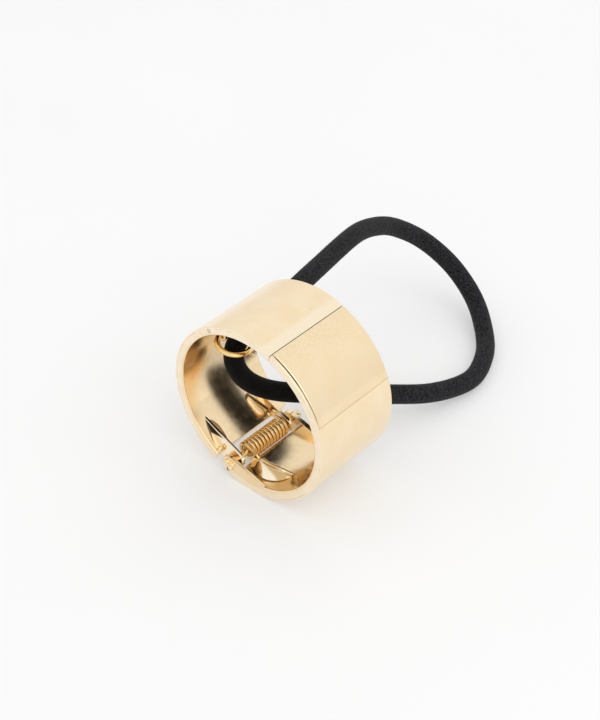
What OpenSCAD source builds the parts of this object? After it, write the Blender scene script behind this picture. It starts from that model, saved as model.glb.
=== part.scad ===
// Ponytail cuff: a hinged metal ring in two halves, closed by a coil spring on the
// hinge pin, with a round hair elastic that runs through a small ring inside it.
// The cuff lies on its side. Its bore runs along Y, front rim at low Y, and the
// origin is on the surface under the middle of the cuff.

/* [Cuff] */
// Outside diameter of the closed cuff
cuff_d = 34; // [30:0.5:38]
// Length of the cuff along the hair
cuff_w = 18.4; // [18:0.2:22]
// Thickness of the wall beside the bore
wall = 1.8; // [1.6:0.1:2.2]
// How far the bore sits off centre, which leaves the wall thicker by the hinge
bore_shift = 0.2; // [0:0.05:0.3]
// Direction of that shift, from the point opposite the hinge towards the seam
bore_turn = -25; // [-40:1:0]
// Rounding of the outer edge of each rim
rim_round = 0.35; // [0.2:0.05:0.5]
// Rounding of the inner edge of each rim
mouth_round = 0.3; // [0.2:0.05:0.4]
// How far the cuff has rolled so that its hinge lies beside the lowest line
lay_turn = 18.3; // [0:0.1:25]
// Angle of the seam past the point opposite the hinge
seam_turn = 1.2; // [0:0.1:3]
// Width of the seam between the halves
seam_gap = 0.14; // [0.1:0.02:0.3]
// Angle from the pin to the edge of the left half, at the slot cut for the hinge
slot_left = 10.8; // [10:0.1:12]
// Angle from the pin to the edge of the right half
slot_right = 9.4; // [9:0.1:12]

/* [Cover plate] */
// Arc that the plate covers, from the seam
plate_arc = 50.5; // [40:0.5:60]
// Thickness of the plate
plate_t = 0.55; // [0.4:0.05:0.7]
// Gap round the plate
plate_gap = 0.06; // [0.05:0.01:0.1]

/* [Hinge] */
// Distance of the pin from the cuff's axis
pin_place = 14.7; // [14.6:0.05:14.8]
// Diameter of the pin
pin_d = 1.2; // [1:0.05:1.3]
// Clearance round the pin in the ears that turn on it
pin_clear = 0.05; // [0.03:0.01:0.08]
// Squeeze of the ears that the pin is pressed in
pin_press = 0.01; // [0.005:0.005:0.02]
// Radius of the lobe of each ear round the pin
ear_lobe_r = 1.7; // [1.6:0.05:1.9]
// Height above the pin at which the ears of the right half meet the wall
right_ear_top = 2; // [1.8:0.1:2.4]
// Height above the pin at which the ears of the left half meet the wall
left_ear_top = 2.5; // [2.2:0.1:2.7]
// Radius of the staked head at the front
front_head_r = 0.9; // [0.8:0.05:1]
// Radius of the head at the back
back_head_r = 1.1; // [1:0.05:1.2]
// How far each head stands out of the rims
head_out = 0.25; // [0.15:0.05:0.3]
// Thickness of the front ear, flush with the rim
front_ear_t = 0.7; // [0.6:0.05:0.8]
// Thickness of the back ear of the same half
back_ear_t = 1; // [0.8:0.1:1.1]
// Thickness of the two ears of the other half
inner_ear_t = 0.65; // [0.5:0.05:0.7]
// Front face of each ear, from the front rim
back_ear_at = 16; // [15.9:0.1:16.2]
// Front face of the front ear of the other half
inner_front_at = 1.8; // [1.7:0.05:1.9]
// Front face of the back ear of the other half
inner_back_at = 14.5; // [14.4:0.1:14.7]

/* [Spring] */
// Diameter of the spring's wire
wire_d = 0.66; // [0.6:0.02:0.7]
// Outside diameter of the coil
coil_d = 3.8; // [3.6:0.05:3.9]
// Whole turns of the coil, between the two legs
coil_turns = 11; // [10:1:11]
// Front end of the coil's wire, from the front rim
coil_front = 4.6; // [4.5:0.1:4.8]
// Back end of the coil's wire
coil_back = 13.75; // [13.7:0.05:13.8]

/* [Elastic] */
// Diameter of the round elastic
elastic_d = 3.5; // [3:0.1:3.5]
// Diameter of the metal ring that the elastic runs through, at the middle of its wire
bail_d = 6.2; // [6.1:0.05:6.3]
// Diameter of that ring's wire
bail_wire = 1.04; // [0.9:0.02:1.06]
// Length of the metal sleeve that joins the elastic's ends
crimp_len = 5; // [4.6:0.2:5.2]
// Outside diameter of the sleeve
crimp_d = 4.2; // [4.1:0.05:4.3]

/* [Hidden] */
$fn = 96;
cuff_r = cuff_d / 2;
bore_r = cuff_r - wall;
slop = 0.02;
far = 2 * cuff_d;
gap_turn = seam_gap / 2 / cuff_r * 180 / PI;
ear_reach = 8.4;
plate_r = cuff_r - plate_t;

// The fins: straight top edge from the end by the pin to the far end, then the foot's
// places along the wall. Columns: beside the pin, above the pin, from the front rim.
fin_t = 0.5;
right_fin_top = [[3.5, 3.3, 3.7], [10, 4, 5.2]];
right_fin_foot = [[3.6, 0.4, 3], [4.8, 0.4, 2.3], [6, 0.7, 2], [7.6, 1.5, 2], [9.4, 2.7, 3.2], [10.1, 3.4, 5]];
left_fin_top = [[-8, 2.2, 12.6], [-3.5, 2, 13.2]];
left_fin_foot = [[-8, 1.6, 11.6], [-6.8, 0.9, 10.9], [-5.6, 0.4, 10.7], [-4.4, 0, 11], [-3.6, -0.3, 12]];
left_web_top = [[-7.9, 2.1, 2.3], [-4.2, 1.7, 2.3]];
left_web_foot = [[-8.1, 1.7, 3], [-6.9, 1, 3.7], [-5.6, 0.4, 3.8], [-4.4, 0, 3.5], [-3.8, -0.1, 3]];

// The cast eye that holds the ring, and the small bead cast on the front corner
eye_r = 1.35;
eye_t = 1;
eye_clear = 0.18;
bead_r = 0.42;
bead_at = [-3.25, 0, 1.2];

// Room inside the sleeve
crimp_clear = 0.1;

// Ring that the elastic runs through
bail_at = [-10.1, -1.1, 22.9];
bail_tilt = 8;
bail_mid = bail_d / 2;
eye_at = [bail_at[0] - bail_mid * cos(bail_tilt), bail_at[1], bail_at[2] + bail_mid * sin(bail_tilt)];

// Legs of the spring. Columns: beside the pin, above the pin, from the front rim
coil_mid = (coil_d - wire_d) / 2;
front_leave = 110;
back_leave = 98;
front_leg = [[1.4, 2.05, 4.2], [2.9, 2.8, 3.7]];
back_leg = [[-3.8, 0.7, 13.85], [-2, 1.3, 13.8]];
turn_steps = 14;

// Route of the elastic, from the sleeve round the free loop, back through the cuff and
// the ring into the sleeve again, on the middle of the tube
route = [
    [-8.2, 7.8, 27],
    [-8.35, 10.1, 27.1],
    [-8.85, 15.2, 27.7],
    [-10, 21.5, 27.5],
    [-12.1, 31.7, 26.8],
    [-13.6, 38, 25.3],
    [-14.5, 44.6, 22.6],
    [-14.3, 49.4, 19.9],
    [-12.1, 55.2, 15.2],
    [-7.8, 58.6, 10.2],
    [-3.2, 58.9, 6.5],
    [1.6, 57, 3.7],
    [7.8, 51.2, 1.9],
    [11, 45.9, 1.8],
    [12.7, 40.3, 1.8],
    [12.2, 34.2, 2.8],
    [10.6, 28.1, 4.4],
    [8.1, 23.1, 6],
    [5.9, 19.6, 7],
    [3.5, 16.1, 7.9],
    [1, 12.8, 8.7],
    [-1.5, 9.8, 9.3],
    [-4, 6.6, 10.1],
    [-6, 3.7, 11.3],
    [-7.8, 0.7, 13.6],
    [-9.2, -1.2, 16.5],
    [-10, -1.8, 19.6],
    [-10, -1.1, 22.6],
    [-9.2, 0.7, 25],
    [-8.35, 3, 26.4],
    [-8.05, 5.1, 26.85],
    [-8.15, 7.2, 26.96]
];
tube_sides = 8;
between = 2;

// A turn of the whole cuff to its resting place
module laid() {
    translate([0, 0, cuff_r]) rotate([0, lay_turn, 0]) children();
}

// Flat outline across the cuff, stood up as a plate at a distance from the front rim
module slab(front, thick) {
    translate([0, front + thick - cuff_w / 2, 0])
        rotate([90, 0, 0])
            linear_extrude(thick)
                children();
}

// A place given beside the pin, above the pin and from the front rim
function by_pin(p) = [p[0], p[2] - cuff_w / 2, p[1] - pin_place];

// Pie-shaped outline from one angle to another, clockwise from the top
module pie(from, to) {
    steps = ceil((to - from) / 15);
    polygon(concat([[0, 0]], [for (i = [0:steps]) let (a = from + (to - from) * i / steps)
        [far * sin(a), far * cos(a)]]));
}

// Ring of the full wall with rounded rims
module shell() {
    rotate([-90, 0, 0]) translate([0, 0, -cuff_w / 2]) difference() {
        rotate_extrude() {
            translate([0, rim_round]) square([cuff_r, cuff_w - 2 * rim_round]);
            square([cuff_r - rim_round, cuff_w]);
            for (y = [rim_round, cuff_w - rim_round])
                translate([cuff_r - rim_round, y]) circle(rim_round);
        }
        translate([bore_shift * sin(bore_turn), -bore_shift * cos(bore_turn), 0]) {
            translate([0, 0, -1]) cylinder(r = bore_r, h = cuff_w + 2);
            rotate_extrude() mouth_edge();
            translate([0, 0, cuff_w]) mirror([0, 0, 1]) rotate_extrude() mouth_edge();
        }
    }
}

// What the rounding of a rim's inner edge takes away, as a profile
module mouth_edge() {
    difference() {
        translate([bore_r - slop, -slop]) square([mouth_round + slop, mouth_round + slop]);
        translate([bore_r + mouth_round, mouth_round]) circle(mouth_round);
    }
}

// One ear: a lobe round the pin and a web that runs into the wall
module ear(front, thick, side, top, hole_r) {
    slab(front, thick) difference() {
        intersection() {
            circle(cuff_r);
            union() {
                translate([0, -pin_place]) circle(ear_lobe_r);
                polygon([[0, ear_lobe_r - pin_place], [side * ear_reach, top - pin_place],
                         [side * ear_reach, -cuff_r], [0, -cuff_r]]);
            }
        }
        translate([0, -pin_place]) circle(hole_r);
    }
}

// Fin that the spring's leg bears on: a straight top edge over a curved foot
module fin(top, foot) {
    intersection() {
        hull() {
            for (p = top) translate(by_pin(p)) sphere(d = fin_t, $fn = 12);
            for (p = foot) translate(by_pin(p)) sphere(d = fin_t, $fn = 8);
        }
        rotate([-90, 0, 0]) translate([0, 0, -cuff_w / 2])
            cylinder(r = cuff_r - wall / 2, h = cuff_w);
    }
}

// Eye for the ring, an upright disc with a hole across the ring's wire
module eye() {
    translate([eye_at[0], eye_at[1] + eye_t / 2, eye_at[2]]) rotate([90, 0, 0]) difference() {
        cylinder(r = eye_r, h = eye_t);
        translate([0, 0, -1]) cylinder(r = bail_wire / 2 + eye_clear, h = eye_t + 2);
    }
}

// The half with the two inner ears, the eye and the cast bead
module left_half() {
    color([0.93, 0.8, 0.58]) {
        laid() {
            intersection() {
                shell();
                slab(-1, cuff_w + 2) pie(180 + slot_left, 360 + seam_turn - gap_turn);
            }
            ear(inner_front_at, inner_ear_t, -1, left_ear_top, pin_d / 2 + pin_clear);
            ear(inner_back_at, inner_ear_t, -1, left_ear_top, pin_d / 2 + pin_clear);
            fin(left_fin_top, left_fin_foot);
            fin(left_web_top, left_web_foot);
            translate(by_pin(bead_at)) sphere(bead_r);
        }
        difference() {
            eye();
            translate([0, 0, cuff_r]) rotate([90, 0, 0]) difference() {
                cylinder(r = far, h = far, center = true);
                cylinder(r = cuff_r - wall / 2, h = far + 1, center = true);
            }
        }
    }
}

// The half with the flush front ear, the back ear and the bed of the cover plate
module right_half() {
    color([0.93, 0.8, 0.58]) laid() {
        difference() {
            intersection() {
                shell();
                slab(-1, cuff_w + 2) pie(seam_turn + gap_turn, 180 - slot_right);
            }
            slab(-1, cuff_w + 2) difference() {
                pie(seam_turn - 5, seam_turn + plate_arc);
                circle(plate_r - plate_gap);
            }
        }
        ear(0, front_ear_t, 1, right_ear_top, pin_d / 2 - pin_press);
        ear(back_ear_at, back_ear_t, 1, right_ear_top, pin_d / 2 - pin_press);
        fin(right_fin_top, right_fin_foot);
    }
}

// Thin curved plate that lies in the bed, flush with the outside
module cover_plate() {
    plate_turn = plate_gap / cuff_r * 180 / PI;
    color([0.94, 0.82, 0.62]) laid() intersection() {
        shell();
        slab(-1, cuff_w + 2) difference() {
            pie(seam_turn + gap_turn, seam_turn + plate_arc - plate_turn);
            circle(plate_r);
        }
    }
}

// Pin with a staked head at the front and a longer head at the back
module hinge_pin() {
    back_face = back_ear_at + back_ear_t;
    color([0.9, 0.72, 0.42]) laid() {
        slab(-head_out, cuff_w + 2 * head_out) translate([0, -pin_place]) circle(pin_d / 2);
        slab(-head_out, head_out) translate([0, -pin_place]) circle(front_head_r);
        slab(back_face, cuff_w + head_out - back_face) translate([0, -pin_place]) circle(back_head_r);
    }
}

// Points on the coil's middle line, from the front leg's end to the back leg's end
function coil_line() =
    let (turn = 360 * coil_turns + back_leave - front_leave, steps = ceil(turn / 360 * turn_steps))
    [for (i = [0:steps]) let (a = front_leave + turn * i / steps)
        [coil_mid * cos(a), coil_mid * sin(a), coil_front + (coil_back - coil_front) * i / steps]];

// The spring: both legs and the coil swept as one wire
module torsion_spring() {
    line = concat([front_leg[1], front_leg[0]], coil_line(), [back_leg[1], back_leg[0]]);
    color([0.9, 0.7, 0.4]) laid() sweep([for (p = line) by_pin(p)], wire_d / 2, 6);
}

// Round ring through the eye
module elastic_ring() {
    color([0.88, 0.66, 0.35])
        translate(bail_at) rotate([0, bail_tilt, 0])
            rotate_extrude() translate([bail_mid, 0]) circle(bail_wire / 2);
}

// A place between b and c on the smooth curve through a, b, c and d
function curve_at(a, b, c, d, t) =
    (2 * b + (c - a) * t + (2 * a - 5 * b + 4 * c - d) * t * t + (3 * b - a - 3 * c + d) * t * t * t) / 2;

// The route with extra places between its points
function smooth(p, n) =
    let (last = len(p) - 1)
    concat([for (i = [0:last - 1], k = [0:n - 1])
        curve_at(p[max(i - 1, 0)], p[i], p[i + 1], p[min(i + 2, last)], k / n)], [p[last]]);

function unit(v) = v / norm(v);

// Direction of a line at each of its places
function heading(p, i) = unit(p[min(i + 1, len(p) - 1)] - p[max(i - 1, 0)]);

// A side direction carried along the line without twisting
function carried(p, i = 0, side = undef) =
    i == len(p) ? [] :
    let (h = heading(p, i),
         start = is_undef(side) ? (abs(h[2]) < 0.8 ? [0, 0, 1] : [1, 0, 0]) : side,
         now = unit(start - h * (h * start)))
    concat([now], carried(p, i + 1, now));

// A tube of a few sides along a line of places
module sweep(p, r, sides) {
    last = len(p) - 1;
    across = carried(p);
    points = [for (i = [0:last]) let (x = across[i], y = cross(heading(p, i), x))
        for (k = [0:sides - 1]) p[i] + r * (x * cos(360 * k / sides) + y * sin(360 * k / sides))];
    skin = [for (i = [0:last - 1], k = [0:sides - 1]) let (n = (k + 1) % sides)
        [i * sides + k, (i + 1) * sides + k, (i + 1) * sides + n, i * sides + n]];
    caps = [[for (k = [0:sides - 1]) k], [for (k = [sides - 1:-1:0]) last * sides + k]];
    polyhedron(points, concat(skin, caps), convexity = 10);
}

// Round black elastic, both ends in the sleeve
module elastic() {
    color([0.06, 0.06, 0.07]) sweep(smooth(route, between), elastic_d / 2, tube_sides);
}

// Sleeve over the two ends of the elastic
module crimp() {
    start = route[len(route) - 1];
    along = unit(route[0] - start);
    mid = (route[0] + start) / 2;
    color([0.9, 0.72, 0.42])
        translate(mid)
            rotate([0, acos(along[2]), atan2(along[1], along[0])])
                translate([0, 0, -crimp_len / 2]) difference() {
                    cylinder(d = crimp_d, h = crimp_len);
                    translate([0, 0, -1]) cylinder(d = elastic_d + 2 * crimp_clear, h = crimp_len + 2);
                }
}

left_half();
right_half();
cover_plate();
hinge_pin();
torsion_spring();
elastic_ring();
elastic();
crimp();
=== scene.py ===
# Ponytail cuff with its elastic, lying on a pale surface as in the photograph.
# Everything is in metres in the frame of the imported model. Sizes below are in
# millimetres, as such a small object is measured, and are scaled once, in laid() and mm().

import math
import random

import bmesh
import bpy
import numpy as np
from mathutils import Matrix, Vector


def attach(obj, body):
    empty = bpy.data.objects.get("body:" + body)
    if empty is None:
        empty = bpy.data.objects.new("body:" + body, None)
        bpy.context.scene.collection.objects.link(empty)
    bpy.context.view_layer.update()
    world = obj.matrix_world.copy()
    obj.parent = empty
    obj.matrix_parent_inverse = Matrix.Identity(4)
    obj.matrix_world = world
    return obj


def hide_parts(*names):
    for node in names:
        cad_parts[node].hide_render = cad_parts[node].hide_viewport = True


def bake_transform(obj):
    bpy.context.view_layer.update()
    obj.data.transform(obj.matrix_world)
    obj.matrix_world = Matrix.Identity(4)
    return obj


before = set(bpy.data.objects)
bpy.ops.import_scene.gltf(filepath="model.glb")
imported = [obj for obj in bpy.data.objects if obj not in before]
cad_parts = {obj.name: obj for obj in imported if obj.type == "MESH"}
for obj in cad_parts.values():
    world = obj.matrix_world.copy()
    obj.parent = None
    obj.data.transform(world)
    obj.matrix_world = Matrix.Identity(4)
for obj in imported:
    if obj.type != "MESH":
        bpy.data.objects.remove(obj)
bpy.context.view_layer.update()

# Sizes of the cuff
CUFF_R = 17.0
CUFF_W = 18.4
BORE_R = 15.2
BORE_SHIFT = 0.2
BORE_TURN = -25.0
RIM_ROUND = 0.12
MOUTH_ROUND = 0.3
LAY_TURN = 18.3
SEAM_TURN = 1.2
SEAM_GAP = 0.11
SLOT_LEFT = 10.8
SLOT_RIGHT = 9.4
PLATE_ARC = 50.5
PLATE_T = 0.55
PLATE_GAP = 0.06
PLATE_SIDE_GAP = 0.03
PLATE_ROUND = 0.22
PLATE_INNER_ROUND = 0.03

# Broken edges at the ends of the walls and of the plate
SEAM_EDGE = 0.04
SLOT_EDGE = 0.08
PLATE_SEAM_EDGE = 0.03
PLATE_END_EDGE = 0.015

# The gap between the front lip and the plate: its middle from the front rim, and its width
# at some turns from the seam
LIP_MIDDLE = 0.5
LIP_GAP_TURNS = (0, 4, 20, 27, 44, 48, 51)
LIP_GAP_WIDTHS = (0.06, 0.2, 0.22, 0.12, 0.1, 0.03, 0.01)

# The bevel at the slot's right edge: how much thinner the wall gets a degree, and how far it goes
BEVEL_SLOPE = 0.16
BEVEL_START = 0.3
BEVEL_ARC = 2.2

# Sizes of the hinge, the spring, the ring and the elastic
PIN_PLACE = 14.7
PIN_R = 0.6
LOBE_R = 1.7
RIGHT_EAR_TOP = 2.0
LEFT_EAR_TOP = 2.5
EAR_REACH = 8.4
EAR_INTO_WALL = 16.5
EAR_ROUND = 0.08
INNER_EAR_RECESS = 1.2
INNER_EAR_LEAN = 0.25
FRONT_EAR_T = 0.7
BACK_EAR_AT = 16.0
BACK_EAR_T = 1.0
INNER_EAR_T = 0.65
INNER_FRONT_AT = 1.8
INNER_BACK_AT = 14.5
HEAD_OUT = 0.25
BACK_HEAD_R = 0.85
HEAD_DENT = 0.07
WIRE_R = 0.33
COIL_MID_R = 1.57
COIL_TURNS = 11
COIL_FRONT = 4.6
COIL_BACK = 13.75
FRONT_LEAVE = 110.0
BACK_LEAVE = 98.0
FRONT_LEG = [(1.4, 2.05, 4.2), (2.9, 2.8, 3.7)]
BACK_LEG = [(-3.8, 0.7, 13.85), (-2.0, 1.3, 13.8)]
RING_AT = (-10.1, -1.1, 22.9)
RING_TILT = 8.0
RING_MID_R = 3.1
RING_WIRE_R = 0.52
EYE_MID_R = 1.02
EYE_THICK = 0.33
EYE_WIDE = 0.48
ELASTIC_R = 1.75
COVER_SWELL = 0.045
FIBRES = 20000
CRIMP_R = 2.1
CRIMP_LEN = 5.0
CRIMP_PINCH = 0.16

# Places along the middle of the elastic, from the sleeve round the loop and back to it
ROUTE = [
    (-8.2, 7.8, 27),
    (-8.35, 10.1, 27.1),
    (-8.85, 15.2, 27.7),
    (-10, 21.5, 27.5),
    (-12.1, 31.7, 26.8),
    (-13.6, 38, 25.3),
    (-14.5, 44.6, 22.6),
    (-14.3, 49.4, 19.9),
    (-12.1, 55.2, 15.2),
    (-7.8, 58.6, 10.2),
    (-3.2, 58.9, 6.5),
    (1.6, 57, 3.7),
    (7.8, 51.2, 1.9),
    (11, 45.9, 1.8),
    (12.7, 40.3, 1.8),
    (12.2, 34.2, 2.8),
    (10.6, 28.1, 4.4),
    (8.1, 23.1, 6),
    (5.9, 19.6, 7),
    (3.5, 16.1, 7.9),
    (1, 12.8, 8.7),
    (-1.5, 9.8, 9.3),
    (-4, 6.6, 10.1),
    (-6, 3.7, 11.3),
    (-7.8, 0.7, 13.6),
    (-9.2, -1.2, 16.5),
    (-10, -1.8, 19.6),
    (-10, -1.1, 22.6),
    (-9.2, 0.7, 25),
    (-8.35, 3, 26.4),
    (-8.05, 5.1, 26.85),
    (-8.15, 7.2, 26.96),
]

# Places by the pin: beside it, above it and from the front rim
STAKED_LUMPS = [(-0.4, 0.51, -0.15), (0.72, 0.75, -0.12), (0.58, -0.41, -0.15)]
LUMP_SIZES = [0.52, 0.48, 0.5]
# Where the pit's painted shade, a flat dark lump, goes
STAKING_PIT = (0.2, -1.18, -0.08)
RIGHT_FIN_TOP = [(2.4, 2.1, 3.8), (3.6, 2.9, 3.8), (5.5, 3.35, 3.9), (7.7, 4.0, 4.3), (10.1, 4.1, 5.2)]
RIGHT_FIN_FOOT = [
    (2.6, 0.3, 2.4),
    (3.4, 0.25, 2.3),
    (4.6, 0.3, 2.1),
    (5.9, 0.8, 1.9),
    (7.6, 1.7, 2.0),
    (9.5, 2.9, 3.2),
    (10.2, 3.5, 5.0),
]
BACK_FIN_TOP = [(-8.2, 2.3, 12.4), (-3.4, 2.1, 13.3)]
BACK_FIN_FOOT = [
    (-8.2, 1.9, 11.5),
    (-7.1, 1.2, 10.9),
    (-5.7, 0.6, 10.6),
    (-4.6, 0.3, 10.7),
    (-3.6, 0.2, 11.5),
    (-3.2, 0.2, 13.0),
]
WEB_TOP = [(-8.2, 2.35, 2.4), (-3.7, 1.85, 2.4)]
WEB_FOOT = [
    (-8.4, 2.03, 3.17),
    (-7.7, 1.6, 3.65),
    (-6.9, 1.15, 3.99),
    (-6.1, 0.8, 4.05),
    (-5.2, 0.4, 4.02),
    (-4.35, 0.15, 3.79),
    (-3.8, 0.05, 3.5),
]
CORNER_BEAD = (-3.17, 0.3, 0.9)
MARKS = [(-12.16, 25.47, 0), (-13.76, 23.33, 0), (-12.85, 4.63, 0)]
MARK_SIZES = [0.62, 0.16, 0.14]

# A place in the row frame
WALL_BEAD = (-14.4, 7.65, 12.6)

# How deep the faint wave of polished metal is
WAVE = 0.004

# The camera as found from the photograph: place, viewing way, its level side and focal length
CAMERA_AT = (136.44, -150.56, 185.86)
VIEW_WAY = (-0.516, 0.587, -0.624)
VIEW_SIDE = (0.7509, 0.6604, 0)
FOCAL_PX = 1517.8
FRAME_PX = 720
SENSOR = 36

# The light, in metres
WORLD_LIGHT = 0.97
LIGHT_WAY = (0.83, -0.19, 1)
LIGHT_AWAY = 0.9
LIGHT_SIZE = 1.0
LIGHT_ENERGY = 2.0
FLOOR_HALF = 2.5

FIXED = "fixed_half"
SWING = "swing_half"


# Places


def mm(p):
    """Millimetres in the row frame to metres."""
    return np.asarray(p, float) * 0.001


def laid(p):
    """A place in the cuff's own frame, hinge straight down, to the row frame in metres."""
    p = np.asarray(p, float)
    turn = math.radians(LAY_TURN)
    x = p[..., 0] * math.cos(turn) + p[..., 2] * math.sin(turn)
    z = p[..., 2] * math.cos(turn) - p[..., 0] * math.sin(turn) + CUFF_R
    return np.stack([x, p[..., 1], z], -1) * 0.001


def around(r, turn, y):
    """Radius, angle clockwise from the point opposite the hinge, distance from the front rim."""
    return (r * math.sin(math.radians(turn)), y - CUFF_W / 2, r * math.cos(math.radians(turn)))


def by_pin(p):
    """Beside the pin, above the pin and from the front rim, to the cuff's own frame."""
    p = np.asarray(p, float)
    return np.stack([p[..., 0], p[..., 2] - CUFF_W / 2, p[..., 1] - PIN_PLACE], -1)


def bore_at(turn):
    """Distance of the inner wall from the cuff's axis in one direction."""
    off = math.radians(turn - BORE_TURN)
    return BORE_SHIFT * math.cos(off) + math.sqrt(BORE_R**2 - (BORE_SHIFT * math.sin(off)) ** 2)


def wall_above(u):
    """Height of the inner wall above the pin, beside it by u."""
    return PIN_PLACE - math.sqrt(BORE_R**2 - u * u)


# Meshes


def add_mesh(name, points, faces, material, body=None, crease=30):
    """A smooth mesh with sharp edges where faces meet at more than crease degrees."""
    mesh = bpy.data.meshes.new(name)
    mesh.from_pydata(np.asarray(points).reshape(-1, 3).tolist(), [], faces)
    whole = bmesh.new()
    whole.from_mesh(mesh)
    bmesh.ops.recalc_face_normals(whole, faces=whole.faces)
    whole.to_mesh(mesh)
    whole.free()
    mesh.polygons.foreach_set("use_smooth", [True] * len(mesh.polygons))
    mesh.set_sharp_from_angle(angle=math.radians(crease))
    mesh.materials.append(material)
    obj = bpy.data.objects.new(name, mesh)
    bpy.context.scene.collection.objects.link(obj)
    if body:
        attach(obj, body)
    return obj


def soften(obj, width, segments=3, limit=32):
    """Rounds the sharp edges of a mesh, leaving its flat faces flat."""
    bevel = obj.modifiers.new("edges", "BEVEL")
    bevel.width = width * 0.001
    bevel.segments = segments
    bevel.limit_method = "ANGLE"
    bevel.angle_limit = math.radians(limit)
    bevel.harden_normals = True
    return obj


def loft(loops, ends=True):
    """Faces between closed loops of equal length, with a cap at each end."""
    count = len(loops[0])
    faces = []
    for i in range(len(loops) - 1):
        for k in range(count):
            n = (k + 1) % count
            faces.append((i * count + k, i * count + n, (i + 1) * count + n, (i + 1) * count + k))
    if ends:
        faces.append(tuple(range(count)))
        last = (len(loops) - 1) * count
        faces.append(tuple(last + k for k in reversed(range(count))))
    return np.concatenate([np.asarray(x, float).reshape(-1, 3) for x in loops]), faces


def extrude(outline, front, back):
    """A flat outline across the cuff, as a plate between two distances from the front rim."""
    loops = [[(x, y - CUFF_W / 2, z) for x, z in outline] for y in (front, back)]
    return loft(loops)


def arc(cx, cz, r, start, end, count):
    """Places on an arc, in degrees from +X towards +Z."""
    turns = np.radians(np.linspace(start, end, count))
    return [(cx + r * math.cos(t), cz + r * math.sin(t)) for t in turns]


def revolve(profile, centre, axis, sides):
    """A solid turned about an axis. profile has (radius, distance along the axis)."""
    axis = Vector(axis).normalized()
    side = axis.orthogonal().normalized()
    other = axis.cross(side)
    loops = []
    for r, ahead in profile:
        loop = []
        for k in range(sides):
            t = 2 * math.pi * k / sides
            loop.append(Vector(centre) + axis * ahead + (side * math.cos(t) + other * math.sin(t)) * r)
        loops.append([tuple(p) for p in loop])
    return loft(loops)


def curve_at(a, b, c, d, t):
    """A place between b and c on the smooth curve through a, b, c and d."""
    return (2 * b + (c - a) * t + (2 * a - 5 * b + 4 * c - d) * t**2 + (3 * b - a - 3 * c + d) * t**3) / 2


def smooth(points, between):
    """A line of places with extra ones between them."""
    p = np.asarray(points, float)
    last = len(p) - 1
    line = []
    for i in range(last):
        for k in range(between):
            line.append(curve_at(p[max(i - 1, 0)], p[i], p[i + 1], p[min(i + 2, last)], k / between))
    return np.array(line + [p[last]])


def along(points):
    """Distance of each place from the start of its line."""
    steps = np.linalg.norm(np.diff(points, axis=0), axis=1)
    return np.concatenate([[0], np.cumsum(steps)])


def resample(points, count):
    """The same line with count places at even distances."""
    points = np.asarray(points, float)
    at = along(points)
    want = np.linspace(0, at[-1], count)
    return np.stack([np.interp(want, at, points[:, i]) for i in range(points.shape[1])], 1)


def full_turn(count):
    """Angles at even steps round a whole turn."""
    return np.linspace(0, 2 * math.pi, count, endpoint=False)


def tube(line, radii, sides):
    """Loops round a line, carried along it without twisting, with the line's frames."""
    line = np.asarray(line, float)
    ahead = np.gradient(line, axis=0)
    ahead /= np.linalg.norm(ahead, axis=1)[:, None]
    side = np.cross(ahead[0], [0, 0, 1.0])
    if np.linalg.norm(side) < 0.2:
        side = np.cross(ahead[0], [1.0, 0, 0])
    loops = []
    frames = []
    for i, p in enumerate(line):
        side = side - ahead[i] * np.dot(side, ahead[i])
        side /= np.linalg.norm(side)
        other = np.cross(ahead[i], side)
        frames.append((p, side.copy(), other))
        r = radii[i] if hasattr(radii, "__len__") else radii
        loops.append([p + r * (side * math.cos(t) + other * math.sin(t)) for t in full_turn(sides)])
    points, faces = loft(loops)
    return points, faces, frames


# Materials


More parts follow.
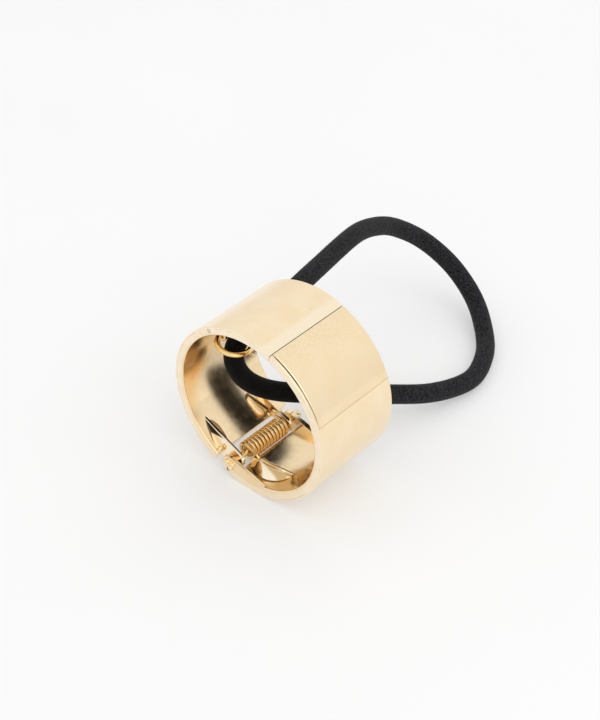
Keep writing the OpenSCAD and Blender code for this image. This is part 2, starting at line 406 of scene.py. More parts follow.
class Paint:
    """A material whose shader sockets can be fed by noise and spots, in the frame of the object."""

    def __init__(self, name):
        self.material = bpy.data.materials.new(name)
        self.material.use_nodes = True
        self.nodes = self.material.node_tree.nodes
        self.links = self.material.node_tree.links
        self.shader = self.nodes["Principled BSDF"]
        self.place = self.nodes.new("ShaderNodeTexCoord").outputs["Object"]

    def set(self, **values):
        for name, value in values.items():
            self.shader.inputs[name.replace("_", " ")].default_value = value

    def split(self):
        """The parts of the place, in metres."""
        node = self.nodes.new("ShaderNodeSeparateXYZ")
        self.links.new(self.place, node.inputs[0])
        return node.outputs["X"], node.outputs["Y"], node.outputs["Z"]

    def noise(self, per_mm, detail=2.0, rough=0.5):
        node = self.nodes.new("ShaderNodeTexNoise")
        node.inputs["Scale"].default_value = per_mm * 1000
        node.inputs["Detail"].default_value = detail
        node.inputs["Roughness"].default_value = rough
        self.links.new(self.place, node.inputs["Vector"])
        return node.outputs["Fac"]

    def ramp(self, value, low, high, out_low=0.0, out_high=1.0):
        node = self.nodes.new("ShaderNodeMapRange")
        node.inputs["From Min"].default_value = low
        node.inputs["From Max"].default_value = high
        node.inputs["To Min"].default_value = out_low
        node.inputs["To Max"].default_value = out_high
        self.links.new(value, node.inputs["Value"])
        return node.outputs["Result"]

    def mix(self, factor, low, high):
        node = self.nodes.new("ShaderNodeMix")
        node.data_type = "RGBA"
        self.links.new(factor, node.inputs["Factor"])
        for socket, value in (("A", low), ("B", high)):
            there = [s for s in node.inputs if s.name == socket and s.type == "RGBA"][0]
            if isinstance(value, tuple):
                there.default_value = (*value, 1)
            else:
                self.links.new(value, there)
        return [s for s in node.outputs if s.type == "RGBA"][0]

    def math(self, kind, a, b):
        node = self.nodes.new("ShaderNodeMath")
        node.operation = kind
        for i, value in enumerate((a, b)):
            if isinstance(value, (int, float)):
                node.inputs[i].default_value = value
            else:
                self.links.new(value, node.inputs[i])
        return node.outputs["Value"]

    def slow_tone(self):
        """Slow changes of tone over polished metal."""
        return self.ramp(self.noise(0.25, 3), 0.35, 0.65)

    def polish(self, low, high):
        """A slightly uneven polish, between two values of roughness."""
        return self.ramp(self.noise(1.2, 4), 0.3, 0.7, low, high)

    def spot(self, centre, radius, wobble=0.25):
        """1 in a small ragged spot round a place, 0 outside it."""
        node = self.nodes.new("ShaderNodeVectorMath")
        node.operation = "DISTANCE"
        self.links.new(self.place, node.inputs[0])
        node.inputs[1].default_value = tuple(centre)
        ragged = self.math("MULTIPLY", self.ramp(self.noise(4.0), 0.3, 0.7, 1 - wobble, 1 + wobble),
                           node.outputs["Value"])
        return self.ramp(ragged, radius * 0.0006, radius * 0.001, 1, 0)

    def color(self, value):
        self.links.new(value, self.shader.inputs["Base Color"])

    def roughness(self, value):
        self.links.new(value, self.shader.inputs["Roughness"])

    def bump(self, height, depth):
        node = self.nodes.new("ShaderNodeBump")
        node.inputs["Distance"].default_value = depth * 0.001
        node.inputs["Strength"].default_value = 1
        self.links.new(height, node.inputs["Height"])
        self.links.new(node.outputs["Normal"], self.shader.inputs["Normal"])


def by_axis(paint):
    """Distance from the cuff's axis in millimetres, and the angle round it from the seam's side."""
    x, _, z = paint.split()
    z = paint.math("SUBTRACT", z, CUFF_R * 0.001)
    squares = paint.math("ADD", paint.math("MULTIPLY", x, x), paint.math("MULTIPLY", z, z))
    radius = paint.math("MULTIPLY", paint.math("SQRT", squares, 0), 1000)
    degrees = paint.math("MULTIPLY", paint.math("ARCTAN2", x, z), 180 / math.pi)
    return radius, paint.math("SUBTRACT", degrees, LAY_TURN)


def from_pin(paint):
    """Beside the pin, above the pin and from the front rim, in millimetres."""
    x, y, z = paint.split()
    turn = math.radians(LAY_TURN)
    x = paint.math("MULTIPLY", x, 1000)
    z = paint.math("SUBTRACT", paint.math("MULTIPLY", z, 1000), CUFF_R)
    beside = paint.math("SUBTRACT", paint.math("MULTIPLY", x, math.cos(turn)),
                        paint.math("MULTIPLY", z, math.sin(turn)))
    upward = paint.math("ADD", paint.math("MULTIPLY", x, math.sin(turn)),
                        paint.math("MULTIPLY", z, math.cos(turn)))
    ahead = paint.math("ADD", paint.math("MULTIPLY", y, 1000), CUFF_W / 2)
    return beside, paint.math("ADD", upward, PIN_PLACE), ahead


def gold(name, light, deep, rough=(0.1, 0.16)):
    """Polished plating: slow changes of tone, a slightly uneven polish and a faint wave."""
    paint = Paint(name)
    paint.set(Metallic=1.0)
    paint.color(paint.mix(paint.slow_tone(), light, deep))
    paint.roughness(paint.polish(*rough))
    paint.bump(paint.noise(0.5, 2), WAVE)
    return paint.material


def painted_shade():
    """Painted shade: a dull dark material for gaps, creases, hidden faces and pits where shade falls."""
    paint = Paint("painted_shade")
    paint.set(Metallic=0.3)
    paint.color(paint.mix(paint.noise(2.0), (0.012, 0.009, 0.006), (0.03, 0.022, 0.012)))
    paint.roughness(paint.ramp(paint.noise(3.0), 0.3, 0.7, 0.5, 0.7))
    return paint.material


def paint_shade_on(obj, material, covers):
    """Gives the painted shade material to the faces that a test on radius, angle and distance picks."""
    obj.data.materials.append(material)
    for face in obj.data.polygons:
        x, y, z = face.center * 1000
        angle = math.degrees(math.atan2(x, z - CUFF_R)) - LAY_TURN
        if covers(math.hypot(x, z - CUFF_R), angle, y + CUFF_W / 2):
            face.material_index = 1


# The wall of each half


def corner(cr, cy, r, start, count=7):
    """A quarter of a circle on the wall's section, from one direction in degrees."""
    return [(cr + r * math.cos(t), cy + r * math.sin(t))
            for t in np.radians(np.linspace(start, start + 90, count))]


def wall_section(r_in, r_out, low, high, round_out, round_in, lip=0.45, seat=0.0):
    """The wall cut through, as radius and distance from the front rim, with rounded rims. Behind
    a lip at the front rim, the outside is lower by seat."""
    near = 0.02
    ease = 0.03
    outer_low = corner(r_out - round_out, low + round_out, round_out, -90)
    outer_low += [(r_out, low + lip - ease), (r_out - min(seat, near), low + lip)]
    r_out -= seat
    outer_low += [(r_out + min(seat, near), low + lip + 0.001), (r_out, low + lip + ease)]
    outer_high = corner(r_out - round_out, high - round_out, round_out, 0)
    inner_high = corner(r_in + round_in, high - round_in, round_in, 90)
    inner_low = corner(r_in + round_in, low + round_in, round_in, 180)
    middle = (low + high) / 2
    section = outer_low
    section += [(r_out, middle), (r_out, high - round_out - near)]
    section += outer_high + [(r_out - round_out - near, high), (r_in + round_in + near, high)]
    section += inner_high
    section += [(r_in, high - round_in - near), (r_in, middle), (r_in, low + round_in + near)]
    section += inner_low + [(r_in + round_in + near, low), (r_out - round_out - near, low)]
    return section


def spread(first, last, step=0.75):
    """Turns from first to last, about step degrees apart."""
    return list(np.linspace(first, last, max(2, int(round((last - first) / step)) + 1)))


def degrees_of(length):
    """The turn that a length takes on the outside of the cuff."""
    return math.degrees(length / CUFF_R)


def inset(section, amount):
    """A section made smaller all round, for the broken edge at an end."""
    p = np.array(section)
    nxt = np.roll(p, -1, axis=0)
    prv = np.roll(p, 1, axis=0)
    way = nxt - prv
    way /= np.maximum(np.linalg.norm(way, axis=1)[:, None], 1e-9)
    return [tuple(q) for q in p + amount * np.stack([-way[:, 1], way[:, 0]], 1)]


def wall_loops(turns, section_at, start_edge, end_edge):
    """Loops of a wall with a small flat broken edge at both ends."""
    def ring(turn, section):
        return [around(r, turn, y) for r, y in section]

    loops = [ring(turns[0], inset(section_at(turns[0]), start_edge))]
    body = [turns[0] + degrees_of(start_edge), *turns[1:-1], turns[-1] - degrees_of(end_edge)]
    loops += [ring(turn, section_at(turn)) for turn in body]
    loops.append(ring(turns[-1], inset(section_at(turns[-1]), end_edge)))
    return loops


def make_left_wall(material):
    """The left half's wall, from the slot at the hinge round to the seam."""
    turns = spread(180 + SLOT_LEFT, 360 + SEAM_TURN - degrees_of(SEAM_GAP / 2))

    def section(turn):
        return wall_section(bore_at(turn), CUFF_R, 0, CUFF_W, RIM_ROUND, MOUTH_ROUND)

    points, faces = loft(wall_loops(turns, section, SLOT_EDGE, SEAM_EDGE))
    return add_mesh("left_wall", laid(points), faces, material, FIXED)


def lip_gap(turn):
    """How wide the gap between the front lip and the plate is, along the plate."""
    return float(np.interp(turn - SEAM_TURN, LIP_GAP_TURNS, LIP_GAP_WIDTHS))


def make_right_wall(material, dark):
    """The right half's wall. The seat of the plate is lower, behind a narrow lip at the front rim."""
    step = SEAM_TURN + PLATE_ARC
    bevel = 180 - SLOT_RIGHT
    bed = CUFF_R - PLATE_T - PLATE_GAP
    turns = spread(SEAM_TURN + degrees_of(SEAM_GAP / 2), step - 0.02)
    turns += spread(step, bevel)
    turns += spread(bevel + BEVEL_START, bevel + BEVEL_ARC)

    def section(turn):
        if turn < step - 0.01:
            lip = LIP_MIDDLE - lip_gap(turn) / 2
            return wall_section(bore_at(turn), CUFF_R, 0, CUFF_W, RIM_ROUND, MOUTH_ROUND, lip, CUFF_R - bed)
        slope = BEVEL_SLOPE * max(turn - bevel, 0)
        return wall_section(bore_at(turn) + slope, CUFF_R, 0, CUFF_W, RIM_ROUND, MOUTH_ROUND)

    def in_gap(r, turn, y):
        behind_lip = LIP_MIDDLE - max(LIP_GAP_WIDTHS) / 2 - 0.02
        return turn < step and bed - 0.03 < r < CUFF_R - 0.01 and y > behind_lip

    points, faces = loft(wall_loops(turns, section, SEAM_EDGE, SLOT_EDGE))
    wall = add_mesh("right_wall", laid(points), faces, material, SWING)
    # Painted shade in the dark material: the gap behind the front lip and the bed under the plate.
    paint_shade_on(wall, dark, in_gap)
    return wall


def make_plate(material, dark):
    """The plate over the right half's outside, with painted shade where it is hidden in its bed."""
    last = SEAM_TURN + PLATE_ARC - degrees_of(PLATE_SIDE_GAP)
    turns = spread(SEAM_TURN + degrees_of(SEAM_GAP / 2), last)

    def section(turn):
        front = LIP_MIDDLE + lip_gap(turn) / 2
        return wall_section(CUFF_R - PLATE_T, CUFF_R, front, CUFF_W, PLATE_ROUND, PLATE_INNER_ROUND)

    def in_gap(r, turn, y):
        return r < CUFF_R - 0.2

    points, faces = loft(wall_loops(turns, section, PLATE_SEAM_EDGE, PLATE_END_EDGE))
    plate = add_mesh("cover_plate_face", laid(points), faces, material, SWING)
    paint_shade_on(plate, dark, in_gap)
    return plate


# The hinge


def ear_outline(side, top, slot_turn):
    """A lobe round the pin and a nearly straight edge that runs into the wall, on one side."""
    under = CUFF_R if side > 0 else CUFF_R - INNER_EAR_RECESS
    lobe = arc(0, -PIN_PLACE, LOBE_R, 205, 90, 28)
    slope = (top - LOBE_R) / EAR_REACH
    height = LOBE_R - PIN_PLACE
    reach = max(x for x in np.linspace(5, 14, 901) if math.hypot(x, height + slope * x) < EAR_INTO_WALL)
    edge = [(x, height + slope * x) for x in np.linspace(0.4, reach, 8)]
    in_wall_end = math.degrees(math.atan2(reach, -edge[-1][1]))
    in_wall = [(EAR_INTO_WALL * math.sin(t), -EAR_INTO_WALL * math.cos(t))
               for t in np.radians(np.linspace(in_wall_end - 1, slot_turn, 24))]
    flush = [(under * math.sin(t), -under * math.cos(t))
             for t in np.radians(np.linspace(slot_turn - 0.01, 1.2, 10))]
    outline = lobe + edge + in_wall + flush
    return [(side * x, z) for x, z in outline]


def make_ear(name, front, thick, side, body, material, lean=0.0):
    """A flat ear. With lean, its front face comes forward as it goes down."""
    top, slot = (RIGHT_EAR_TOP, SLOT_RIGHT) if side > 0 else (LEFT_EAR_TOP, SLOT_LEFT)
    points, faces = extrude(ear_outline(side, top, slot), front, front + thick)
    count = len(points) // 2
    points[:count, 1] -= lean * np.maximum(LOBE_R - PIN_PLACE - points[:count, 2], -2)
    ear = add_mesh(name, laid(points), faces, material, body)
    return soften(ear, EAR_ROUND)


def pin_point(front):
    """A place on the pin's axis, by its distance from the front rim."""
    return tuple(laid(by_pin((0, 0, front))))


def make_pin(material):
    """The shank with a staked front head, whose rim has three dents, and a plain back head."""
    centre = np.array(pin_point(0))
    back_face = BACK_EAR_AT + BACK_EAR_T
    front = [(0.02, -0.04), (0.1, -0.1), (0.3, -0.19), (0.5, -HEAD_OUT), (0.68, -0.2), (0.8, -0.1),
             (0.84, -0.01), (0.8, 0.02), (PIN_R, 0.04)]
    back = [(PIN_R, back_face - 0.02), (BACK_HEAD_R - 0.1, back_face - 0.01), (BACK_HEAD_R, back_face + 0.1),
            (BACK_HEAD_R, CUFF_W + 0.05), (BACK_HEAD_R - 0.12, CUFF_W + HEAD_OUT - 0.05),
            (BACK_HEAD_R - 0.35, CUFF_W + HEAD_OUT), (0.02, CUFF_W + HEAD_OUT)]
    profile = [(r * 0.001, y * 0.001) for r, y in front + back]
    points, faces = revolve(profile, centre, (0, 1, 0), 60)
    off = points - centre
    turn = np.arctan2(off[:, 2], off[:, 0])
    on_head = off[:, 1] < 0.00001
    stretch = np.where(on_head, 1 + HEAD_DENT * np.cos(3 * turn + 0.6), 1)
    points[:, 0] = centre[0] + off[:, 0] * stretch
    points[:, 2] = centre[2] + off[:, 2] * stretch
    return add_mesh("pin_with_heads", points, faces, material, SWING, crease=45)


def make_staking(material, dark):
    """Three lumps left by the punch on the front head, and painted shade for the pit between two of them: a
    flat lump in the dark material.
    """
    lumps = [ball("staked_lump_%d" % i, laid(by_pin(place)), r, material, SWING, (1, 0.85, 1))
             for i, (place, r) in enumerate(zip(STAKED_LUMPS, LUMP_SIZES))]
    pit = ball("painted_shade_pit", laid(by_pin(STAKING_PIT)), 0.34, dark, SWING, (1, 0.4, 1))
    return lumps + [pit]


# The spring


def spring_line():
    """The middle of the wire: front leg, coil and back leg, by the pin."""
    turn = 360 * COIL_TURNS + BACK_LEAVE - FRONT_LEAVE
    steps = 30 * COIL_TURNS
    coil = []
    for i in range(steps + 1):
        a = math.radians(FRONT_LEAVE + turn * i / steps)
        coil.append((COIL_MID_R * math.cos(a), COIL_MID_R * math.sin(a),
                     COIL_FRONT + (COIL_BACK - COIL_FRONT) * i / steps))
    front = smooth([FRONT_LEG[1], FRONT_LEG[0], coil[0], coil[2]], 8)[:-8]
    back = smooth([coil[-3], coil[-1], BACK_LEG[1], BACK_LEG[0]], 8)[8:]
    return np.concatenate([front, coil[1:-1], back])


def make_spring(material):
    """The wire: front leg, coil and back leg, as one tube that is not attached to either half."""
    points, faces, _ = tube(laid(by_pin(spring_line())), WIRE_R * 0.001, 14)
    spring = add_mesh("spring_wire", points, faces, material, crease=50)
    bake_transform(spring)
    return spring


# Fins, eye, ring and the small cast beads


def make_fin(name, top, foot, thick, hollow, body, material, dark, lip):
    """A cast fin with a lip along its top, a crease and a face down to the wall. The face is flat
    at first, and hollow between the two shares of its length given as hollow."""
    count = 44
    loops = []
    for i, (t, f) in enumerate(zip(resample(smooth(top, 6), count), resample(smooth(foot, 6), count))):
        share = min(max((i / (count - 1) - hollow[0]) / (hollow[1] - hollow[0]), 0), 1)
        loops.append(fin_section(t, f, thick, lip, share))
    points, faces = loft(loops)
    fin = add_mesh(name, laid(by_pin(points)), faces, material, body, crease=40)
    darken_fin(fin, faces, len(loops[0]), count, dark)
    return fin


def fin_section(t, f, thick, lip, share):
    """The fin cut through between a place on its top and one on its foot, hollow by share."""
    ahead = -math.copysign(1, thick)
    behind = np.array([t[0], wall_above(t[0]) - 0.3, t[2] + thick])
    crest_back = np.array([t[0], t[1], t[2] + thick])
    crest = t + (crest_back - t) * 0.5
    sunk = np.array([f[0], wall_above(f[0]) - 0.3, f[2] + 0.1 * ahead])
    edge = t + np.array([0, -lip * 0.4, lip * ahead])
    start = edge + np.array([0, -0.12, -0.04 * ahead])
    straight = (start + f) / 2
    round_in = np.array([straight[0], f[1] + 0.25 * (start[1] - f[1]), start[2] + 0.1 * (f[2] - start[2])])
    middle = straight * (1 - share) + round_in * share
    face = [t, t + (edge - t) * 0.3, edge, start]
    for s in [*np.linspace(0.05, 0.93, 17), 1]:
        face.append((1 - s) ** 2 * start + 2 * s * (1 - s) * middle + s * s * f)
    inner = np.array([t[0], behind[1], (behind[2] + sunk[2]) / 2])
    return np.array([behind, crest_back, crest, *face, sunk, inner])


def darken_fin(fin, faces, rows, count, dark):
    """Painted shade, in the dark material, along the crest, in the crease, at the foot and round the tip."""
    crest_row, crease_row, foot_row = 2, 5, rows - 4
    fin.data.materials.append(dark)
    for polygon, corners in zip(fin.data.polygons, faces):
        rows_here = [v % rows for v in corners]
        row = 0 if 0 in rows_here else min(rows_here)
        at_tip = min(corners) // rows >= count - 2 and row > crease_row
        if len(corners) == 4 and (row in (crest_row, crease_row, foot_row) or at_tip):
            polygon.material_index = 1


def ball(name, centre, radius, material, body, shape=(1, 1, 1)):
    """A small cast lump or pit, drawn out by shape."""
    mesh = bmesh.new()
    bmesh.ops.create_uvsphere(mesh, u_segments=24, v_segments=16, radius=radius * 0.001)
    bmesh.ops.scale(mesh, vec=shape, verts=mesh.verts)
    bmesh.ops.translate(mesh, vec=Vector(centre), verts=mesh.verts)
    data = bpy.data.meshes.new(name)
    mesh.to_mesh(data)
    mesh.free()
    data.polygons.foreach_set("use_smooth", [True] * len(data.polygons))
    data.materials.append(material)
    obj = bpy.data.objects.new(name, data)
    bpy.context.scene.collection.objects.link(obj)
    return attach(obj, body)


def ring_frame():
    """The ring's middle and its two level directions, in the row frame."""
    tilt = math.radians(RING_TILT)
    across = Vector((math.cos(tilt), 0, -math.sin(tilt)))
    return Vector(mm(RING_AT)), across, Vector((0, 1, 0))


def make_ring(material):
    """The ring's wire is flattened, with a soft ridge round its outside."""
    centre, across, ahead = ring_frame()
    up = across.cross(ahead)
    loops = []
    for turn in np.linspace(0, 2 * math.pi, 97):
        out = across * math.cos(turn) + ahead * math.sin(turn)
        loop = []
        for t in full_turn(20):
            wide = RING_WIRE_R * (0.94 + 0.06 * math.cos(t) ** 4)
            high = RING_WIRE_R * (1.0 - 0.1 * abs(math.sin(2 * t)))
            p = centre + (out * (RING_MID_R + wide * math.cos(t)) + up * high * math.sin(t)) * 0.001
            loop.append(tuple(p))
        loops.append(loop)
    points, faces = loft(loops, ends=False)
    ring = add_mesh("ring_wire", points, faces, material, FIXED, crease=60)
    whole = bmesh.new()
    whole.from_mesh(ring.data)
    bmesh.ops.remove_doubles(whole, verts=whole.verts, dist=1e-7)
    whole.to_mesh(ring.data)
    whole.free()
    return ring


def make_eye(material):
    """A rounded loop cast on the wall, which the ring hangs in."""
    centre, across, ahead = ring_frame()
    at = centre - across * RING_MID_R * 0.001
    out = Vector((-1, 0, 0.43)).normalized()
    up = ahead.cross(out)
    loops = []
    for turn in np.linspace(0, 2 * math.pi, 49):
        way = out * math.cos(turn) + up * math.sin(turn)
        loop = []
        for t in full_turn(14):
            off = way * (EYE_MID_R + EYE_THICK * math.cos(t)) + ahead * EYE_WIDE * math.sin(t)
            loop.append(tuple(at + off * 0.001))
        loops.append(loop)
    points, faces = loft(loops, ends=False)
    return add_mesh("cast_eye", points, faces, material, FIXED, crease=60)


# The elastic and its sleeve


def elastic_line():
    """The route as an even line, eased a little where its places would leave a kink."""
    line = resample(smooth(ROUTE, 10), 320)
    reach = 6
    padded = np.concatenate([2 * line[0] - line[reach:0:-1], line, 2 * line[-1] - line[-2:-reach - 2:-1]])
    weights = np.exp(-np.linspace(-2, 2, 2 * reach + 1) ** 2 / 2)
    weights /= weights.sum()
    return mm(np.stack([np.convolve(padded[:, i], weights, "valid") for i in range(3)], 1))


def make_elastic(line, material, fuzz_material):
    """The cover, which swells a little where it leaves the sleeve, and its fibres."""
    at = along(line)
    free = np.minimum(at, at[-1] - at) * 1000 - CRIMP_LEN / 2
    radii = ELASTIC_R * 0.001 * (1 + COVER_SWELL * np.clip(free, 0, 1))
    points, faces, frames = tube(line, radii, 32)
    elastic = add_mesh("elastic_cover", points, faces, material, FIXED, crease=80)
    return elastic, make_fuzz(frames, radii, fuzz_material)


def make_fuzz(frames, radii, material):
    """Short loose fibres that stand out of the elastic's cover."""
    chance = random.Random(7)
    points = []
    faces = []
    for _ in range(FIBRES):
        i = chance.randrange(len(frames) - 1)
        p, side, other = frames[i]
        t = chance.uniform(0, 2 * math.pi)
        out = side * math.cos(t) + other * math.sin(t)
        skin = p + out * radii[i] * 0.985 + (frames[i + 1][0] - p) * chance.random()
        way = np.cross(out, np.array([chance.gauss(0, 1) for _ in range(3)]))
        way /= max(np.linalg.norm(way), 1e-6)
        length = chance.uniform(0.15, 0.6) * 0.001
        lift = chance.uniform(0.02, 0.2) * 0.001
        thin = np.cross(way, out) * 0.006 * 0.001
        middle = skin + way * length * 0.5 + out * lift
        end = skin + way * length + out * lift * chance.uniform(0.2, 1.3)
        first = len(points)
        points += [skin - thin, skin + thin, middle + thin, middle - thin, end]
        faces += [(first, first + 1, first + 2, first + 3), (first + 3, first + 2, first + 4)]
    mesh = bpy.data.meshes.new("elastic_fuzz")
    mesh.from_pydata(np.array(points).tolist(), [], faces)
    mesh.materials.append(material)
    obj = bpy.data.objects.new("elastic_fuzz", mesh)
    bpy.context.scene.collection.objects.link(obj)
    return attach(obj, FIXED)


def crimp_ends():
    """The two ends of the sleeve and the way from one to the other."""
    start, end = np.array(ROUTE[-1], float), np.array(ROUTE[0], float)
    way = (end - start) / np.linalg.norm(end - start)
    middle = (start + end) / 2
    return middle - way * CRIMP_LEN / 2, middle + way * CRIMP_LEN / 2, way


def make_crimp(material):
    """A rolled metal sleeve, pinched in two bands over the elastic's ends."""
    low, _, way = crimp_ends()
    inner = ELASTIC_R + 0.06
    mouth = CRIMP_R - 0.08
    profile = [(inner, 0.02), (mouth, 0)]
    for x in np.linspace(0, CRIMP_LEN, 50)[1:-1]:
        pinch = sum(math.exp(-(((x - c) / 0.45) ** 2)) for c in (1.5, 4.3))
        profile.append((CRIMP_R - CRIMP_PINCH * pinch, x))
    profile += [(mouth, CRIMP_LEN), (inner, CRIMP_LEN - 0.02)]
    points, faces = revolve([(r * 0.001, x * 0.001) for r, x in profile], mm(low), tuple(way), 48)
    return add_mesh("crimp_sleeve", points, faces, material, FIXED, crease=40)


# The place it lies in


def make_floor():
    """A pale plain surface that glows a little, as a well lit studio table does."""
    paint = Paint("pale_floor")
    paint.set(Roughness=0.85, Emission_Strength=0.3)
    paint.set(Emission_Color=(1, 1, 1, 1))
    paint.color(paint.mix(paint.ramp(paint.noise(0.02, 3), 0.3, 0.7), (0.59, 0.59, 0.59), (0.6, 0.6, 0.6)))
    corners = [(x * FLOOR_HALF, y * FLOOR_HALF, 0) for x, y in ((-1, -1), (1, -1), (1, 1), (-1, 1))]
    mesh = bpy.data.meshes.new("floor")
    mesh.from_pydata(corners, [], [(0, 1, 2, 3)])
    mesh.materials.append(paint.material)
    floor = bpy.data.objects.new("floor", mesh)
    bpy.context.scene.collection.objects.link(floor)


def make_camera():
    """The camera as it stood for the photograph."""
    view = Vector(VIEW_WAY).normalized()
    right = Vector(VIEW_SIDE).normalized()
    up = right.cross(view)
    data = bpy.data.cameras.new("camera")
    data.sensor_width = SENSOR
    data.lens = FOCAL_PX / FRAME_PX * SENSOR
    data.clip_start = 0.005
    data.clip_end = 20
    camera = bpy.data.objects.new("camera", data)
    turn = Matrix((right, up, -view)).transposed().to_4x4()
    camera.matrix_world = Matrix.Translation(Vector(mm(CAMERA_AT))) @ turn
    bpy.context.scene.collection.objects.link(camera)
    bpy.context.scene.camera = camera


def make_world():
    """An even white studio, a little less bright low down."""
    world = bpy.data.worlds.new("studio")
    world.use_nodes = True
    nodes = world.node_tree.nodes
    links = world.node_tree.links
    place = nodes.new("ShaderNodeTexCoord")
    split = nodes.new("ShaderNodeSeparateXYZ")
    ramp = nodes.new("ShaderNodeValToRGB")
    links.new(place.outputs["Generated"], split.inputs[0])
    links.new(split.outputs["Z"], ramp.inputs["Fac"])
    links.new(ramp.outputs["Color"], nodes["Background"].inputs["Color"])
    nodes["Background"].inputs["Strength"].default_value = WORLD_LIGHT
    ramp.color_ramp.elements[0].color = (0.93, 0.93, 0.93, 1)
    ramp.color_ramp.elements[1].color = (1, 1, 1, 1)
    ramp.color_ramp.elements[0].position = 0.0
    ramp.color_ramp.elements[1].position = 0.6
    bpy.context.scene.world = world


def make_light():
    """One large soft light above and to the right of the camera."""
    data = bpy.data.lights.new("softbox", "AREA")
    data.shape = "DISK"
    data.size = LIGHT_SIZE
    data.energy = LIGHT_ENERGY
    light = bpy.data.objects.new("softbox", data)
    way = Vector(LIGHT_WAY).normalized()
    light.location = way * LIGHT_AWAY
    light.rotation_mode = "QUATERNION"
    light.rotation_quaternion = way.to_track_quat("Z", "Y")
    bpy.context.scene.collection.objects.link(light)


# The surfaces


def cuff_paint():
    """The cuff: a painted highlight as a brighter stripe beside the seam, and a deeper, duller tone inside.
    """
    paint = Paint("cuff_gold")
    paint.set(Metallic=1.0)
    radius, turn = by_axis(paint)
    slow = paint.slow_tone()
    outside = paint.mix(slow, (0.965, 0.8, 0.56), (0.945, 0.765, 0.51))
    # Painted highlight: a brighter stripe on the left half, just before the seam.
    painted_highlight = paint.math("MULTIPLY", paint.ramp(turn, -7.5, -4.5), paint.ramp(turn, 1.3, 1.2))
    outside = paint.mix(paint.math("MULTIPLY", painted_highlight, 0.8), outside, (0.985, 0.86, 0.66))
    outside = rim_tone(paint, radius, marked(paint, outside))
    inner = paint.ramp(radius, 15.62, 15.48)
    inside = paint.mix(slow, (0.955, 0.765, 0.5), (0.94, 0.735, 0.455))
    paint.color(paint.mix(inner, outside, inside))
    paint.roughness(paint.math("ADD", paint.polish(0.1, 0.16), paint.math("MULTIPLY", inner, 0.045)))
    paint.bump(paint.noise(0.5, 2), WAVE)
    return paint.material


def marked(paint, tone):
    """The tone with fine dark pits and three larger marks at the front rim."""
    pits = paint.ramp(paint.noise(2.2, 2), 0.74, 0.78)
    for place, size in zip(MARKS, MARK_SIZES):
        pits = paint.math("MAXIMUM", pits, paint.spot(laid(by_pin(place)), size))
    return paint.mix(paint.math("MULTIPLY", pits, 0.9), tone, (0.16, 0.11, 0.08))


def rim_tone(paint, radius, tone):
    """The rims are paler, with patchy rings of dull gold left by the turning."""
    rim = paint.math("MULTIPLY", paint.ramp(radius, 16.98, 16.9), paint.ramp(radius, 15.5, 15.6, 0, 0.6))
    tone = paint.mix(rim, tone, (0.99, 0.87, 0.69))
    patchy = paint.ramp(paint.noise(0.5, 3), 0.42, 0.6)
    for at, deep in ((16.62, 0.6), (16.1, 0.25), (15.75, 0.35)):
        off = paint.math("ABSOLUTE", paint.math("SUBTRACT", radius, at), 0)
        line = paint.math("MULTIPLY", paint.ramp(off, 0.07, 0.02), patchy)
        tone = paint.mix(paint.math("MULTIPLY", line, deep), tone, (0.5, 0.32, 0.15))
    return tone


def fin_paint():
    """The right fin: bright, with a painted reflection that makes it browner in a band that widens along its
    top.
    """
    paint = Paint("fin_gold")
    paint.set(Metallic=1.0)
    beside, above, _ = from_pin(paint)
    out = paint.math("SUBTRACT", beside, 3.5)
    below = paint.math("SUBTRACT", paint.math("ADD", paint.math("MULTIPLY", out, 0.22), 2.6), above)
    band = paint.math("SUBTRACT", paint.math("MULTIPLY", out, 0.26), below)
    # Painted reflection: a browner band that widens along the top, and a fainter brown just above its line.
    painted_reflection_band = paint.math("MULTIPLY", paint.ramp(band, -0.2, 0.2, 0, 0.9), paint.ramp(below, -0.05, 0.1))
    painted_reflection_band = paint.math("MAXIMUM", painted_reflection_band, paint.ramp(below, 0.0, -0.1, 0, 0.3))
    plain = paint.mix(paint.noise(0.3), (0.99, 0.87, 0.68), (0.97, 0.84, 0.63))
    paint.color(paint.mix(painted_reflection_band, plain, (0.6, 0.4, 0.16)))
    paint.roughness(paint.polish(0.08, 0.12))
    return paint.material


def plate_paint():
    """The plate: a little hazier than the rest, speckled near the seam, and with painted shade, a patchy
    browner band, towards its end far from the seam.
    """
    paint = Paint("plate_gold")
    paint.set(Metallic=1.0)
    _, turn = by_axis(paint)
    plain = paint.mix(paint.slow_tone(), (0.96, 0.79, 0.54), (0.945, 0.765, 0.5))
    speckle = paint.ramp(paint.noise(3.6, 3, 0.7), 0.46, 0.6)
    near = paint.ramp(turn, 30, 4, 0.12, 0.6)
    toned = paint.mix(paint.math("MULTIPLY", speckle, near), plain, (0.86, 0.66, 0.4))
    # Painted shade: a patchy browner band towards the plate's end far from the seam.
    low = paint.math("MULTIPLY", paint.ramp(turn, 38, 50, 0, 0.4), paint.ramp(paint.noise(0.12), 0.3, 0.6))
    paint.color(paint.mix(low, toned, (0.82, 0.6, 0.36)))
    paint.roughness(paint.polish(0.16, 0.24))
    paint.bump(paint.noise(0.5, 2), WAVE)
    return paint.material


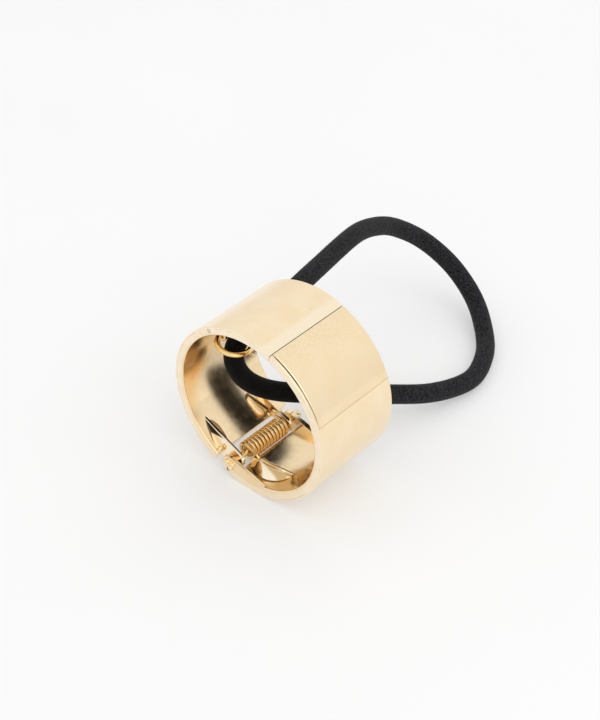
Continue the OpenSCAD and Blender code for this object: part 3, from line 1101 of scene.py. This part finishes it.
def ear_paint():
    """The left front ear: gold, with a painted dark reflection in the corner where it meets the wall far from
    the pin, and painted shade along the back of its top edge.
    """
    paint = Paint("ear_gold")
    paint.set(Metallic=1.0)
    beside, above, ahead = from_pin(paint)
    out = paint.math("MULTIPLY", beside, -1)
    top = paint.math("ADD", paint.math("MULTIPLY", out, (LEFT_EAR_TOP - LOBE_R) / EAR_REACH), LOBE_R)
    below = paint.math("SUBTRACT", top, above)
    # Painted reflection: a dark wedge in the corner where the ear meets the wall, far from the pin.
    painted_reflection_wedge = paint.math("SUBTRACT", paint.math("MULTIPLY", paint.math("SUBTRACT", out, 3.4), 0.42), below)
    painted_reflection_wedge = paint.math("MULTIPLY", paint.ramp(painted_reflection_wedge, -0.05, 0.15), paint.ramp(below, 0.08, 0.16))
    # Painted shade: dark along the top edge at the back of the ear.
    behind = paint.ramp(ahead, INNER_FRONT_AT + 0.3, INNER_FRONT_AT + 0.36)
    back = paint.math("MULTIPLY", behind, paint.ramp(below, 0.1, 0.05))
    plain = paint.mix(paint.slow_tone(), (0.985, 0.87, 0.7), (0.97, 0.84, 0.65))
    paint.color(paint.mix(paint.math("MAXIMUM", painted_reflection_wedge, back), plain, (0.035, 0.028, 0.018)))
    paint.roughness(paint.polish(0.1, 0.16))
    return paint.material


def elastic_paint():
    """A matte dark cover with a fine rough grain, and painted shade that makes it blacker inside the cuff."""
    paint = Paint("elastic_cover")
    paint.set(Roughness=0.95, Sheen_Weight=0.06, Sheen_Roughness=0.5, Specular_IOR_Level=0.12)
    fine = paint.noise(4.0, 4, 0.65)
    _, y, _ = paint.split()
    # Painted shade: the cover is blacker inside the cuff than where it runs outside.
    outside = paint.ramp(y, 0.006, 0.014)
    low = paint.mix(outside, (0.0003, 0.0003, 0.0003), (0.0012, 0.0012, 0.0015))
    high = paint.mix(outside, (0.005, 0.0048, 0.0047), (0.043, 0.0412, 0.0462))
    paint.color(paint.mix(paint.ramp(fine, 0.42, 0.64), low, high))
    paint.bump(fine, 0.12)
    return paint.material


def fuzz_paint():
    """The loose fibres, a little paler than the cover."""
    paint = Paint("elastic_fibre")
    paint.set(Roughness=0.9)
    paint.color(paint.mix(paint.noise(1.0), (0.012, 0.012, 0.0125), (0.045, 0.044, 0.045)))
    return paint.material


# The whole scene


def place_elastic(pin):
    """The elastic with its fibres and its sleeve."""
    line = elastic_line()
    elastic, fuzz = make_elastic(line, elastic_paint(), fuzz_paint())
    crimp = make_crimp(pin)
    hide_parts("elastic")
    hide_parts("crimp")


def place_walls(cuff, dark):
    """The walls of the two halves and the cover plate. Gives back the two walls."""
    left = make_left_wall(cuff)
    right = make_right_wall(cuff, dark)
    face = make_plate(plate_paint(), dark)
    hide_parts("left_half")
    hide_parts("right_half")
    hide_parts("cover_plate")
    return [left, right]


def place_hinge(cuff, pin, dark):
    """The ears, the pin with its staked head and the spring. Gives back the ears."""
    ears = [
        make_ear("right_front_ear", -0.003, FRONT_EAR_T, 1, SWING, cuff),
        make_ear("right_back_ear", BACK_EAR_AT, BACK_EAR_T, 1, SWING, cuff),
        make_ear("left_front_ear", INNER_FRONT_AT, INNER_EAR_T, -1, FIXED, ear_paint(), INNER_EAR_LEAN),
        make_ear("left_back_ear", INNER_BACK_AT, INNER_EAR_T, -1, FIXED, cuff),
    ]
    shank = make_pin(pin)
    lumps = make_staking(pin, dark)
    wire = gold("spring_gold", (0.88, 0.63, 0.3), (0.82, 0.56, 0.24))
    spring = make_spring(wire)
    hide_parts("hinge_pin")
    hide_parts("torsion_spring")
    return ears


def place_fins(dark):
    """The two fins that the spring's legs bear on, and the web below the left front ear."""
    # Painted shade: a darker gold for the left back fin, which sits in a recess.
    shade = gold("shaded_recess_gold", (0.86, 0.62, 0.33), (0.72, 0.48, 0.22), (0.2, 0.3))
    # Painted shade: a much darker gold for the web below the left front ear.
    deep = gold("shaded_web_gold", (0.5, 0.34, 0.16), (0.32, 0.2, 0.09), (0.25, 0.35))
    return [
        make_fin("right_fin", RIGHT_FIN_TOP, RIGHT_FIN_FOOT, 0.2, (0.1, 0.6), SWING, fin_paint(), dark, 0.45),
        make_fin("left_back_fin", BACK_FIN_TOP, BACK_FIN_FOOT, 0.2, (0, 0.4), FIXED, shade, dark, 0.3),
        make_fin("left_front_web", WEB_TOP, WEB_FOOT, -0.3, (2, 3), FIXED, deep, dark, 0.15),
    ]


def place_ring(cuff):
    """The ring, and the eye that it hangs in. Gives back the eye."""
    ring = make_ring(gold("ring_gold", (0.94, 0.71, 0.36), (0.91, 0.67, 0.31)))
    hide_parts("elastic_ring")
    return make_eye(cuff)


def build():
    """Everything, in the order in which it is made: the camera and the cord come first."""
    make_camera()
    cuff = cuff_paint()
    pin = gold("pin_gold", (0.95, 0.76, 0.46), (0.93, 0.73, 0.42))
    dark = painted_shade()
    place_elastic(pin)
    walls = place_walls(cuff, dark)
    ears = place_hinge(cuff, pin, dark)
    fins = place_fins(dark)
    corner_bead = ball("corner_bead", laid(by_pin(CORNER_BEAD)), 0.45, pin, FIXED, (1, 1, 1.4))
    eye = place_ring(cuff)
    wall_bead = ball("wall_bead", mm(WALL_BEAD), 0.37, cuff, FIXED)

    make_floor()
    make_world()
    make_light()
    bpy.context.scene.view_settings.view_transform = "Standard"


build()
